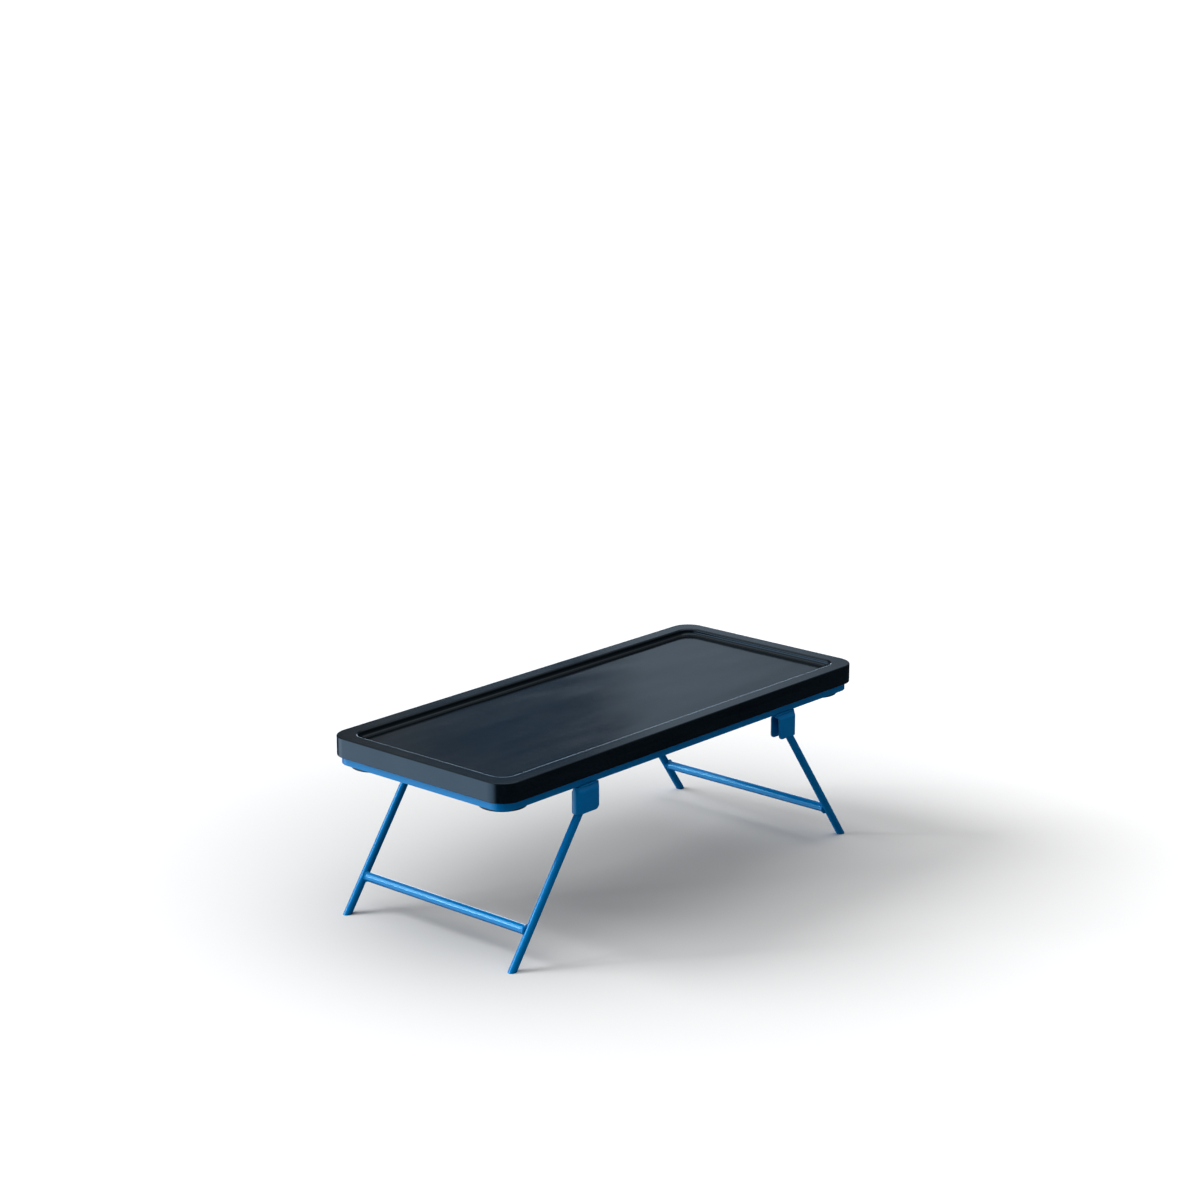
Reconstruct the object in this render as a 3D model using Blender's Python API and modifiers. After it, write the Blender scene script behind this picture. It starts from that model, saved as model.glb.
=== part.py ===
"""Low serving stand: a shallow tray board on a steel ring with two folding leg frames.

Frame: origin on the floor under the middle of the stand, +X along the board, +Z up.
All sizes are in metres.
"""
import math

import bmesh
import bpy
from mathutils import Matrix, Vector

OBJECT_NAME = "folding_leg_stand"

# Board
BOARD_LENGTH = 0.460
BOARD_WIDTH = 0.200
BOARD_THICKNESS = 0.017
BOARD_TOP = 0.160
BOARD_CORNER = 0.0185
BOARD_EASE = 0.0010
RIM_WIDTH = 0.0125
RECESS_DEPTH = 0.0050
RECESS_CORNER = 0.0120
RECESS_COVE = 0.0030
LIP_EASE = 0.0020
BOARD_BOTTOM = BOARD_TOP - BOARD_THICKNESS
RECESS_WALL = RIM_WIDTH + LIP_EASE

# Ring of flat bar under the board
RING_INSET = 0.0040
RING_BAR = 0.0030
RING_HEIGHT = 0.0069
RING_CORNER = 0.0147
RING_EASE = 0.0005
CONTACT_GAP = 0.0003
RING_TOP = BOARD_BOTTOM - CONTACT_GAP
RING_BOTTOM = RING_TOP - RING_HEIGHT
RING_HALF_X = BOARD_LENGTH / 2 - RING_INSET
RING_HALF_Y = BOARD_WIDTH / 2 - RING_INSET

# Rubber pads that locate the board inside the ring
PAD_RADIUS = 0.0200
PAD_PLAY = 0.0005
PAD_BELOW_RING = 0.0033
PAD_X = RING_HALF_X - RING_BAR - PAD_PLAY - PAD_RADIUS
PAD_Y = RING_HALF_Y - RING_BAR - PAD_PLAY - PAD_RADIUS
PAD_TOP = BOARD_BOTTOM - CONTACT_GAP
PAD_BOTTOM = RING_BOTTOM - PAD_BELOW_RING
PAD_HOLE = 0.0023
PAD_SINK_RADIUS = 0.0050
PAD_SINK_DEPTH = 0.0036

# Countersunk wood screw in each pad
SCREW_SHANK = 0.0020
SCREW_HEAD_RADIUS = 0.0042
SCREW_HEAD_HEIGHT = 0.0024
SCREW_IN_BOARD = 0.0060
SCREW_SLOT = 0.0011

# U-shaped strap brackets
STRAP = 0.0015
STRAP_GAP = 0.0074
BRACKET_WIDTH = STRAP_GAP + 2 * STRAP
BRACKET_OUTBOARD = 0.1431
BRACKET_INBOARD = 0.1181
BRACKET_TOP = RING_BOTTOM - CONTACT_GAP
BRACKET_BOTTOM = 0.1132
BRACKET_CORNER = 0.0045
SHOULDER_HEIGHT = 0.0045
SHOULDER_INSET = 0.0032
TOP_FLARE = 0.0030
HINGE_Y = 0.0947

# Hinge pins
PIN_RADIUS = 0.0018
PIN_CLEARANCE = 0.00006
PIN_HEAD_RADIUS = 0.0034
PIN_HEAD_HEIGHT = 0.0014
HINGE_X = 0.1287
HINGE_Z = 0.1250

# Leg frames
ROD_RADIUS = 0.0035
ROD_ABOVE_PIN = 0.0050
FOOT_X = 0.2170
CROSSBAR_RADIUS = 0.0040
CROSSBAR_Z = 0.0288
WELD_LENGTH = 0.0034
WELD_RADIUS = 0.0052
WELD_GAP = 0.0001


def clear_scene():
    for item in list(bpy.data.objects):
        bpy.data.objects.remove(item, do_unlink=True)
    for group in list(bpy.data.collections):
        bpy.data.collections.remove(group)


def make_material(name, colour, roughness, metallic):
    material = bpy.data.materials.new(name)
    material.use_nodes = True
    shader = material.node_tree.nodes["Principled BSDF"]
    shader.inputs["Base Color"].default_value = (*colour, 1.0)
    shader.inputs["Roughness"].default_value = roughness
    shader.inputs["Metallic"].default_value = metallic
    return material


def add_object(name, mesh, group, material=None):
    item = bpy.data.objects.new(name, mesh)
    group.objects.link(item)
    if material:
        mesh.materials.append(material)
    return item


def mesh_from(bm, name):
    bmesh.ops.recalc_face_normals(bm, faces=bm.faces)
    mesh = bpy.data.meshes.new(name)
    bm.to_mesh(mesh)
    bm.free()
    return mesh


def add_turned(name, profile, steps, group, material=None):
    """Turn (radius, height) pairs, listed from the top down, about the object's Z axis."""
    mesh = bpy.data.meshes.new(name)
    points = [(radius, 0, height) for radius, height in profile]
    mesh.from_pydata(points, [(index, index + 1) for index in range(len(points) - 1)], [])
    item = add_object(name, mesh, group, material)
    screw = item.modifiers.new("turn", "SCREW")
    screw.axis = "Z"
    screw.steps = steps
    screw.render_steps = steps
    screw.use_merge_vertices = True
    screw.merge_threshold = 0.00001
    return item


def add_rod_cutter(name, start, end, radius, steps, group):
    """A cylinder between two points, to cut a round hole."""
    start = Vector(start)
    end = Vector(end)
    turn = (end - start).to_track_quat("Z", "Y").to_matrix().to_4x4()
    bm = bmesh.new()
    bmesh.ops.create_cone(
        bm,
        cap_ends=True,
        segments=steps,
        radius1=radius,
        radius2=radius,
        depth=(end - start).length,
        matrix=Matrix.Translation((start + end) / 2) @ turn,
    )
    return hide_cutter(add_object(name, mesh_from(bm, name), group))


def add_box_cutter(name, centre, size, group):
    bm = bmesh.new()
    bmesh.ops.create_cube(bm, size=1.0)
    bmesh.ops.scale(bm, verts=bm.verts, vec=size)
    bmesh.ops.translate(bm, verts=bm.verts, vec=centre)
    return hide_cutter(add_object(name, mesh_from(bm, name), group))


def hide_cutter(cutter):
    cutter.hide_render = True
    cutter.display_type = "WIRE"
    return cutter


def cut(item, cutter):
    """Subtract one closed body from another."""
    modifier = item.modifiers.new("cut_" + cutter.name, "BOOLEAN")
    modifier.operation = "DIFFERENCE"
    modifier.solver = "EXACT"
    modifier.object = cutter


def hang_from(item, hinge):
    """Parent an object to a leg's hinge without moving it."""
    item.parent = hinge
    item.location = item.location - hinge.location


def rounded_outline(half_x, half_y, radius, steps):
    """Points of a rounded rectangle, anticlockwise from the +X +Y corner's start."""
    points = []
    for corner in range(4):
        sign_x = (1, -1, -1, 1)[corner]
        sign_y = (1, 1, -1, -1)[corner]
        centre_x = sign_x * (half_x - radius)
        centre_y = sign_y * (half_y - radius)
        for step in range(steps + 1):
            angle = math.pi / 2 * (corner + step / steps)
            points.append((centre_x + radius * math.cos(angle), centre_y + radius * math.sin(angle)))
    return points


def start_outline(bm, outline, height):
    """A flat face whose corners are an outline's points; each corner remembers its point."""
    order = bm.verts.layers.int.new("order")
    bmesh.ops.create_circle(bm, cap_ends=True, segments=len(outline), radius=1.0)
    bm.faces.ensure_lookup_table()
    face = bm.faces[0]
    for index, (vert, (x, y)) in enumerate(zip(face.verts, outline)):
        vert[order] = index
        vert.co = (x, y, height)
    return face


def extrude_to(bm, face, outline, height):
    """Extrude a face and move its corners to another outline with as many points.

    The face stays as the start of the body, unless the body already reaches it.
    """
    order = bm.verts.layers.int["order"]
    grown = bmesh.ops.extrude_face_region(bm, geom=[face])["geom"]
    end = [item for item in grown if isinstance(item, bmesh.types.BMFace)][0]
    for vert in end.verts:
        vert.co = (*outline[vert[order]], height)
    if len(face.edges[0].link_faces) > 2:
        bmesh.ops.delete(bm, geom=[face], context="FACES_ONLY")
    return end


def round_edges(bm, edges, radius, segments):
    bmesh.ops.bevel(
        bm,
        geom=edges,
        offset=radius,
        offset_type="OFFSET",
        segments=segments,
        profile=0.5,
        affect="EDGES",
        clamp_overlap=False,
    )


def arc(centre_a, centre_b, radius, start, end, steps):
    """Points on an arc, as (a, b) pairs, angles in degrees."""
    points = []
    for step in range(steps + 1):
        angle = math.radians(start + (end - start) * step / steps)
        points.append((centre_a + radius * math.cos(angle), centre_b + radius * math.sin(angle)))
    return points


def build_board(parts, cutters, material):
    """Slab with a shallow recess: one outline lifted, narrowed and sunk again, its edges rounded."""
    outer = rounded_outline(BOARD_LENGTH / 2, BOARD_WIDTH / 2, BOARD_CORNER, 10)
    half_x = BOARD_LENGTH / 2 - RECESS_WALL
    half_y = BOARD_WIDTH / 2 - RECESS_WALL
    inner = rounded_outline(half_x, half_y, RECESS_CORNER, 10)
    bm = bmesh.new()
    underside = start_outline(bm, outer, BOARD_BOTTOM)
    outside = list(underside.edges)
    top = extrude_to(bm, underside, outer, BOARD_TOP)
    outside += list(top.edges)
    mouth = extrude_to(bm, top, inner, BOARD_TOP)
    lip = list(mouth.edges)
    floor = extrude_to(bm, mouth, inner, BOARD_TOP - RECESS_DEPTH)
    round_edges(bm, list(floor.edges), RECESS_COVE, 6)
    round_edges(bm, lip, LIP_EASE, 5)
    round_edges(bm, outside, BOARD_EASE, 3)
    board = add_object("board", mesh_from(bm, "board"), parts, material)
    for name, side_x, side_y in corners():
        start = (side_x * PAD_X, side_y * PAD_Y, BOARD_BOTTOM - 0.002)
        end = (side_x * PAD_X, side_y * PAD_Y, BOARD_BOTTOM + SCREW_IN_BOARD + 0.0006)
        hole = add_rod_cutter("pilot_hole_" + name, start, end, SCREW_SHANK + 0.0001, 24, cutters)
        cut(board, hole)
    return board


def corners():
    """The four corners as (name, side along X, side along Y)."""
    return (
        ("front_left", -1, -1),
        ("front_right", 1, -1),
        ("back_left", -1, 1),
        ("back_right", 1, 1),
    )


def build_pad(name, side_x, side_y, parts, cutters, material):
    profile = [(0, PAD_TOP), (PAD_RADIUS - 0.0004, PAD_TOP), (PAD_RADIUS, PAD_TOP - 0.0004)]
    profile += arc(PAD_RADIUS - 0.0008, PAD_BOTTOM + 0.0008, 0.0008, 360, 300, 3)
    profile += [(PAD_RADIUS - 0.0012, PAD_BOTTOM), (0, PAD_BOTTOM)]
    pad = add_turned("pad_" + name, profile, 40, parts, material)
    pad.location = (side_x * PAD_X, side_y * PAD_Y, 0)
    seat = [
        (0, PAD_TOP + 0.001),
        (PAD_HOLE, PAD_TOP + 0.001),
        (PAD_HOLE, PAD_BOTTOM + PAD_SINK_DEPTH),
        (PAD_SINK_RADIUS, PAD_BOTTOM + 0.0008),
        (PAD_SINK_RADIUS, PAD_BOTTOM - 0.001),
        (0, PAD_BOTTOM - 0.001),
    ]
    hole = hide_cutter(add_turned("screw_hole_" + name, seat, 24, cutters))
    hole.location = pad.location
    cut(pad, hole)
    return pad


def build_pad_screw(name, side_x, side_y, parts, cutters, material):
    """A countersunk screw, head down in the pad's seat, with a straight slot."""
    seat = PAD_BOTTOM + 0.0011
    tip = BOARD_BOTTOM + SCREW_IN_BOARD
    profile = [
        (0, tip),
        (SCREW_SHANK * 0.3, tip),
        (SCREW_SHANK, tip - 0.0016),
        (SCREW_SHANK, seat + SCREW_HEAD_HEIGHT),
        (SCREW_HEAD_RADIUS, seat + 0.0003),
        (SCREW_HEAD_RADIUS - 0.0003, seat),
        (0, seat),
    ]
    screw = add_turned("pad_screw_" + name, profile, 20, parts, material)
    screw.location = (side_x * PAD_X, side_y * PAD_Y, 0)
    centre = (side_x * PAD_X, side_y * PAD_Y, seat)
    cut(screw, add_box_cutter("screw_slot_" + name, centre, (0.012, SCREW_SLOT, 0.0018), cutters))
    return screw


def build_ring(parts, material):
    """Flat bar bent on edge into a rounded rectangle."""
    inner_corner = RING_CORNER - RING_BAR
    outer = rounded_outline(RING_HALF_X, RING_HALF_Y, RING_CORNER, 10)
    inner = rounded_outline(RING_HALF_X - RING_BAR, RING_HALF_Y - RING_BAR, inner_corner, 10)
    bm = bmesh.new()
    whole = start_outline(bm, outer, RING_BOTTOM)
    middle = extrude_to(bm, whole, inner, RING_BOTTOM)
    bmesh.ops.delete(bm, geom=[whole, middle], context="FACES_ONLY")
    lifted = bmesh.ops.extrude_face_region(bm, geom=list(bm.faces))["geom"]
    raised = [item for item in lifted if isinstance(item, bmesh.types.BMVert)]
    bmesh.ops.translate(bm, verts=raised, vec=(0, 0, RING_HEIGHT))
    ring = add_object("frame_ring", mesh_from(bm, "frame_ring"), parts, material)
    ease = ring.modifiers.new("ease", "BEVEL")
    ease.width = RING_EASE
    ease.segments = 2
    ease.limit_method = "ANGLE"
    ease.angle_limit = math.radians(60)
    return ring


def bracket_path():
    """Middle line of the strap from one inboard edge round the bend to the other.

    Each entry is (outboard position, across position, normal angle, distance to nearest end).
    """
    radius = BRACKET_WIDTH / 2
    middle = radius - STRAP / 2
    bend_start = BRACKET_OUTBOARD - radius
    straight = bend_start - BRACKET_INBOARD
    ends = [BRACKET_CORNER * (1 - math.cos(math.radians(15 * step))) for step in range(7)]
    side = [(distance, -90) for distance in ends] + [(straight, -90)]
    path = [(BRACKET_INBOARD + distance, -middle, angle, distance) for distance, angle in side]
    for step in range(1, 12):
        angle = -90 + 180 * step / 12
        across = middle * math.sin(math.radians(angle))
        along = bend_start + middle * math.cos(math.radians(angle))
        path.append((along, across, angle, straight))
    for distance, angle in reversed(side):
        path.append((BRACKET_INBOARD + distance, middle, -angle, distance))
    return path


def bracket_bottom_at(distance):
    """Lower edge of the strap, rounded up towards its two ends."""
    reach = max(BRACKET_CORNER - distance, 0.0)
    return BRACKET_BOTTOM + BRACKET_CORNER - math.sqrt(max(BRACKET_CORNER**2 - reach**2, 0.0))


def bracket_section(low):
    """Cross-section of the strap as (side, height, share of the shoulder passed)."""
    shoulder = BRACKET_TOP - SHOULDER_HEIGHT
    section = [(1, low)]
    section += [(1, shoulder + SHOULDER_HEIGHT * step / 4) for step in range(5)]
    section += [(-1, shoulder + SHOULDER_HEIGHT * step / 4) for step in range(4, -1, -1)]
    section += [(-1, low)]
    placed = []
    for side, height in section:
        share = max(height - shoulder, 0.0) / SHOULDER_HEIGHT
        placed.append((side, height, 3 * share**2 - 2 * share**3))
    return placed


def skin(bm, sections):
    """Close a solid over sections that differ in shape from one to the next."""
    verts = [[bm.verts.new(point) for point in section] for section in sections]
    for near, far in zip(verts, verts[1:]):
        for index in range(len(near)):
            after = (index + 1) % len(near)
            bm.faces.new((near[index], near[after], far[after], far[index]))
    bm.faces.new(list(reversed(verts[0])))
    bm.faces.new(verts[-1])


def build_bracket(name, side_x, side_y, parts, cutters, material):
    """U-shaped strap, open inboard.

    Near the top its plates are drawn in under the ring's bar, and their open edges flare inboard.
    """
    bm = bmesh.new()
    sections = []
    for along, across, angle, distance in bracket_path():
        out_x = math.cos(math.radians(angle))
        out_y = math.sin(math.radians(angle))
        low = bracket_bottom_at(distance)
        flare = TOP_FLARE * max(1 - distance / BRACKET_CORNER, 0.0)
        section = []
        for side, height, share in bracket_section(low):
            shift = side * STRAP / 2 - SHOULDER_INSET * share * out_y**2
            point = (
                side_x * (along - flare * share + shift * out_x),
                side_y * HINGE_Y + across + shift * out_y,
                height,
            )
            section.append(point)
        sections.append(section)
    skin(bm, sections)
    bracket = add_object("bracket_" + name, mesh_from(bm, "bracket_" + name), parts, material)
    inner = side_y * (HINGE_Y - BRACKET_WIDTH / 2)
    start = (side_x * HINGE_X, inner - side_y * 0.001, HINGE_Z)
    end = (side_x * HINGE_X, inner + side_y * 0.003, HINGE_Z)
    hole = add_rod_cutter("pin_hole_" + name, start, end, PIN_RADIUS + PIN_CLEARANCE, 24, cutters)
    cut(bracket, hole)
    return bracket


def build_pin(name, side_x, side_y, parts, material):
    """Rivet pin: blind against the outer plate, domed head on the inner plate."""
    outer_end = STRAP_GAP / 2 - 0.0001
    head = -BRACKET_WIDTH / 2 - 0.0001
    profile = [(0, outer_end), (PIN_RADIUS - 0.0003, outer_end), (PIN_RADIUS, outer_end - 0.0003)]
    profile += [(PIN_RADIUS, head), (PIN_HEAD_RADIUS, head), (PIN_HEAD_RADIUS, head - 0.0003)]
    profile += [(0.0026, head - PIN_HEAD_HEIGHT * 0.78), (0.0012, head - PIN_HEAD_HEIGHT)]
    profile += [(0, head - PIN_HEAD_HEIGHT)]
    pin = add_turned("hinge_pin_" + name, profile, 24, parts, material)
    pin.location = (side_x * HINGE_X, side_y * HINGE_Y, HINGE_Z)
    pin.rotation_euler = (side_y * math.radians(-90), 0, 0)
    return pin


def rod_line(side_x, side_y):
    """Hinge point and foot point of one leg rod's middle line."""
    hinge = Vector((side_x * HINGE_X, side_y * HINGE_Y, HINGE_Z))
    foot = Vector((side_x * FOOT_X, side_y * HINGE_Y, 0))
    return hinge, foot


def add_hinge(name, side_x, group):
    """An empty on a leg's hinge axis, to carry the leg's pieces."""
    hinge = bpy.data.objects.new(name, None)
    hinge.location = (side_x * HINGE_X, 0, HINGE_Z)
    group.objects.link(hinge)
    return hinge


def build_leg_rod(name, side_x, side_y, parts, cutters, material):
    """Round rod with a domed top, a cross hole for the pin and a foot cut level."""
    hinge, foot = rod_line(side_x, side_y)
    profile = [(0, ROD_ABOVE_PIN)]
    for share, below in ((0.4, 0.0), (0.78, 0.0006), (0.94, 0.0014), (1.0, 0.0026)):
        profile.append((ROD_RADIUS * share, ROD_ABOVE_PIN - below))
    end = -(foot - hinge).length - 2 * ROD_RADIUS
    profile += [(ROD_RADIUS, end), (0, end)]
    rod = add_turned("leg_rod_" + name, profile, 28, parts, material)
    rod.location = hinge
    rod.rotation_euler = (0, -side_x * math.atan2(FOOT_X - HINGE_X, HINGE_Z), 0)
    below_floor = (foot.x, foot.y, -0.01)
    cut(rod, add_box_cutter("floor_" + name, below_floor, (0.04, 0.02, 0.02), cutters))
    start = (hinge.x, hinge.y - 0.006, hinge.z)
    end = (hinge.x, hinge.y + 0.006, hinge.z)
    hole = add_rod_cutter("rod_hole_" + name, start, end, PIN_RADIUS + PIN_CLEARANCE, 24, cutters)
    cut(rod, hole)
    return rod


def build_crossbar(name, side_x, parts, cutters, material):
    """Round bar between the rods; each end flares into a weld fitted round its rod."""
    share = (HINGE_Z - CROSSBAR_Z) / HINGE_Z
    hinge, foot = rod_line(side_x, 1)
    centre = hinge.lerp(foot, share)
    shoulder = centre.y - ROD_RADIUS - WELD_LENGTH + 0.0006
    flare = [(CROSSBAR_RADIUS, shoulder)]
    for step in range(1, 5):
        share_out = step / 4
        swell = (WELD_RADIUS - CROSSBAR_RADIUS) * share_out**2
        flare.append((CROSSBAR_RADIUS + swell, shoulder + WELD_LENGTH * share_out))
    flare.append((WELD_RADIUS - 0.0010, shoulder + WELD_LENGTH + 0.0012))
    flare.append((0, shoulder + WELD_LENGTH + 0.0012))
    profile = list(reversed(flare)) + [(radius, -height) for radius, height in flare]
    bar = add_turned("crossbar_" + name, profile, 28, parts, material)
    bar.location = (centre.x, 0, centre.z)
    bar.rotation_euler = (math.radians(-90), 0, 0)
    for side_y, end in ((-1, "front"), (1, "back")):
        top, bottom = rod_line(side_x, side_y)
        along = (bottom - top).normalized() * 0.02
        middle = top.lerp(bottom, share)
        label = "cope_" + name + "_" + end
        cope = add_rod_cutter(label, middle - along, middle + along, ROD_RADIUS + WELD_GAP, 40, cutters)
        cut(bar, cope)
    return bar


def build():
    clear_scene()
    parts = bpy.data.collections.new(OBJECT_NAME)
    cutters = bpy.data.collections.new("cutters")
    bpy.context.scene.collection.children.link(parts)
    bpy.context.scene.collection.children.link(cutters)

    dark_wood = (0.030, 0.036, 0.043)
    blue = (0.004, 0.128, 0.402)
    build_board(parts, cutters, make_material("board", dark_wood, 0.38, 0.0))
    build_ring(parts, make_material("frame_ring", blue, 0.30, 0.0))
    hinges = {-1: add_hinge("left_leg_hinge", -1, parts), 1: add_hinge("right_leg_hinge", 1, parts)}
    for name, side_x, side_y in corners():
        rubber = make_material("pad_" + name, (0.012, 0.012, 0.013), 0.75, 0.0)
        build_pad(name, side_x, side_y, parts, cutters, rubber)
        zinc = make_material("pad_screw_" + name, (0.55, 0.56, 0.58), 0.35, 1.0)
        build_pad_screw(name, side_x, side_y, parts, cutters, zinc)
        paint = make_material("bracket_" + name, blue, 0.30, 0.0)
        build_bracket(name, side_x, side_y, parts, cutters, paint)
        pin_paint = make_material("hinge_pin_" + name, blue, 0.30, 0.0)
        build_pin(name, side_x, side_y, parts, pin_paint)
        rod_paint = make_material("leg_rod_" + name, blue, 0.28, 0.0)
        rod = build_leg_rod(name, side_x, side_y, parts, cutters, rod_paint)
        hang_from(rod, hinges[side_x])
    for name, side_x in (("left", -1), ("right", 1)):
        bar_paint = make_material("crossbar_" + name, blue, 0.28, 0.0)
        bar = build_crossbar(name, side_x, parts, cutters, bar_paint)
        hang_from(bar, hinges[side_x])


build()
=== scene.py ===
"""Looks for a low serving stand: a dark lacquered wood tray on a blue steel ring with folding legs.

Lengths are in metres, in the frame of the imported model: +X along the tray, +Z up.
"""
import math

import bmesh
import bpy
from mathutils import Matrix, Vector


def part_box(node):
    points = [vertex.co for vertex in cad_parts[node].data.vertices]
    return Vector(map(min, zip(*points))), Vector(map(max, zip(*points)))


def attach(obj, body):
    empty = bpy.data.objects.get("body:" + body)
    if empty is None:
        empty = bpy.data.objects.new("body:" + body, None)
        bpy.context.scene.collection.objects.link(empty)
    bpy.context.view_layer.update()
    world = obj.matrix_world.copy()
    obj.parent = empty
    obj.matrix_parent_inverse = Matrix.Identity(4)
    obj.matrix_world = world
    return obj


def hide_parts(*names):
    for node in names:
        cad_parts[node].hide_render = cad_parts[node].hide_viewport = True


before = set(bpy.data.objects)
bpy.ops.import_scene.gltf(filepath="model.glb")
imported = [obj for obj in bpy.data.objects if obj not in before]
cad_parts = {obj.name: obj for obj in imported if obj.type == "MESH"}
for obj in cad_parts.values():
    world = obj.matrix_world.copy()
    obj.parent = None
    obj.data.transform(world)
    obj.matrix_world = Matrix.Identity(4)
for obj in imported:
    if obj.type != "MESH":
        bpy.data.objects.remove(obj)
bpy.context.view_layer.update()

# Tray board
BOARD_CORNER = 0.0185
BOARD_EASE = 0.0010
RIM_WIDTH = 0.0125
RECESS_DEPTH = 0.0050
RECESS_CORNER = 0.0120
RECESS_WALL = 0.0145
RECESS_COVE = 0.0030
LIP_EASE = 0.0020

# Ring of flat bar
RING_BAR = 0.0030
RING_CORNER = 0.0147
RING_EASE = 0.0005

# Pads: holes and sinks for their screws, and eased edges
PAD_HOLE = 0.0023
PAD_SINK_RADIUS = 0.0050
PAD_SINK_DEPTH = 0.0036
PAD_SINK_FLARE = 0.0004
PAD_SINK_FLARE_DEPTH = 0.0005
PAD_SINK_WALL_DEPTH = 0.0008
PAD_CHAMFER = 0.0014
PAD_FOOT_EASE = 0.0009
PAD_TOP_EASE = 0.0004

# Screws: domed head, slot, thread and tip
SCREW_SHANK = 0.0020
SCREW_PLAY = 0.0001
SCREW_TIP_ROOM = 0.0006
SCREW_HEAD_HEIGHT = 0.0024
SCREW_DOME_RISE = 0.00008
SCREW_EDGE_INSET = 0.0003
SCREW_EDGE_START = 0.0002
SCREW_EDGE_END = 0.0005
SCREW_SLOT = 0.0011
SCREW_SLOT_DEPTH = 0.0009
SCREW_SLOT_LENGTH = 0.0120
SCREW_NECK = 0.0004
SCREW_TIP = 0.0018
THREAD_PITCH = 0.0009
THREAD_ROOT = 0.80 * SCREW_SHANK
THREAD_CREST = 0.45 * THREAD_PITCH

# Strap brackets
STRAP = 0.0015
STRAP_EASE = 0.0004
STRAP_CORNER = 0.0045
SHOULDER_HEIGHT = 0.0045
SHOULDER_INSET = 0.0032
TOP_FLARE = 0.0030

# Weld beads between brackets and ring: a ripple's length, its rise as a share of the radius, the
# tips' share of the full section, how far round the second bead's ripples are shifted, and the share
# of the strap's flare that a bead runs out over
BEAD_RADIUS = 0.0009
BEAD_PITCH = 0.0017
BEAD_RIPPLE = 0.08
BEAD_TIP = 0.02
BEAD_SHIFT = 1.3
BEAD_OVER_FLARE = 0.7

# Hinge pins
HINGE_Z = 0.1250
PIN_RADIUS = 0.0018
PIN_HOLE = 0.00186
PIN_HEAD_HEIGHT = 0.0014
PIN_EDGE = 0.0003

# Leg rods and crossbars
ROD_RADIUS = 0.0035
ROD_ABOVE_PIN = 0.0050
ROD_DOME = 0.0026
FOOT_X = 0.2170
FOOT_EASE = 0.0004
CROSSBAR_RADIUS = 0.0040
CROSSBAR_Z = 0.0288

# Welds at the crossbars' ends
WELD_LENGTH = 0.0034
WELD_RADIUS = 0.0052
WELD_GAP = 0.0001
WELD_BITE = 0.0006
WELD_TOE = 0.0004
WELD_RIPPLE = 0.0001
WELD_RIPPLES = 2.5
WELD_END_INSET = 0.0010
WELD_END_LENGTH = 0.0012

# Cutting: how far a cutter passes a surface, and how far it reaches from the middle of a rod
OVERRUN = 0.0010
REACH_ACROSS_ROD = 0.0060
REACH_ALONG_ROD = 0.0200

# Segments: corners, eased edges, the tray's lip and cove, domes, the strap's bend and shoulder, welds
CORNER_STEPS = 28
EASE_STEPS = 5
TOP_EASE_STEPS = 7
LIP_STEPS = 12
DOME_STEPS = 8
BEND_STEPS = 32
SHOULDER_STEPS = 12
WELD_STEPS = 12
BEAD_STEPS = 8
BEAD_SIDES = 14
ROD_SIDES = 64

# Degrees between faces above which an edge stays sharp
SHARP_ANGLE = 35

# Colours, each pair from dark to pale
WOOD = (0.0018, 0.0045, 0.0075), (0.0040, 0.0085, 0.0125)
WOOD_GRAIN = (0.0065, 0.0120, 0.0165)
WOOD_PORES = (0.0008, 0.0016, 0.0024)
LACQUER_SHINE = (0.60, 0.82, 1.0, 1.0)
PAINT = (0.0, 0.150, 0.420), (0.0, 0.168, 0.460)
PAINT_SHINE = (0.26, 0.78, 1.0, 1.0)
RUBBER = (0.008, 0.008, 0.009), (0.022, 0.022, 0.023)
ZINC = (0.46, 0.47, 0.50), (0.63, 0.63, 0.62)

# Camera: tilt down and turn in radians, distances from the stand's middle, height, focal length in mm
CAMERA_PITCH = 0.26448
CAMERA_YAW = 0.84537
CAMERA_BACK = 2.31681
CAMERA_ASIDE = 0.00317
CAMERA_HEIGHT = 0.87325
CAMERA_LENS = 84.75

# Floor: half its width, its middle, where the painted shade around the stand starts and stops fading,
# its colours (the painted shade's two greys and the white beyond), and the colour it bounces onto the
# pieces
FLOOR_HALF = 80.0
FLOOR_CENTRE = (0.02, 0.0, 0.0)
FLOOR_SHADE_NEAR = 0.10
FLOOR_SHADE_FAR = 0.52
FLOOR_PAINTED_SHADE = (0.56, 0.558, 0.555)
FLOOR_PAINTED_SHADE_LIGHT = (0.58, 0.578, 0.575)
FLOOR_WHITE = (0.93, 0.93, 0.93)
FLOOR_BOUNCE = (0.38, 0.38, 0.38)

# Lamps: name, energy, width in degrees, direction they shine from
KEY = "key", 1.9, 30, (-0.49, 0.64, 0.59)
STRIP = "strip", 0.60, 6, (-0.72, 0.64, 0.26)

# Patches of sky: axis, cosines of the angle to it where a patch starts and is full, brightness there
CEILING = (0, 0, 1), 0.55, 0.98, 0.0, 1.5
HAZE = (0, 0, 1), 0.02, 0.20, 0.0, 0.07
SIDE = (-0.80, 0.50, 0.20), 0.60, 0.95, 0.0, 0.50
WALL = (0.7227, 0.6238, 0.2974), 0.9935, 0.9999, 0.03, 0.38
HORIZON = (0.72, 0.66, -0.12), 0.93, 0.99, 0.0, 3.2
UNDER_LEFT = (-0.72, 0.64, -0.26), 0.60, 0.97, 0.0, 2.4
CARD_AXIS = (0.692, 0.655, 0.304)
CARD_SHADE = CARD_AXIS, 0.9987, 0.9997, 1.0, 0.0
CARD_BLUE = CARD_AXIS, 0.9990, 0.99985, 0.0, 0.13
WARM_WHITE = (1.0, 0.985, 0.97)
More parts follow.
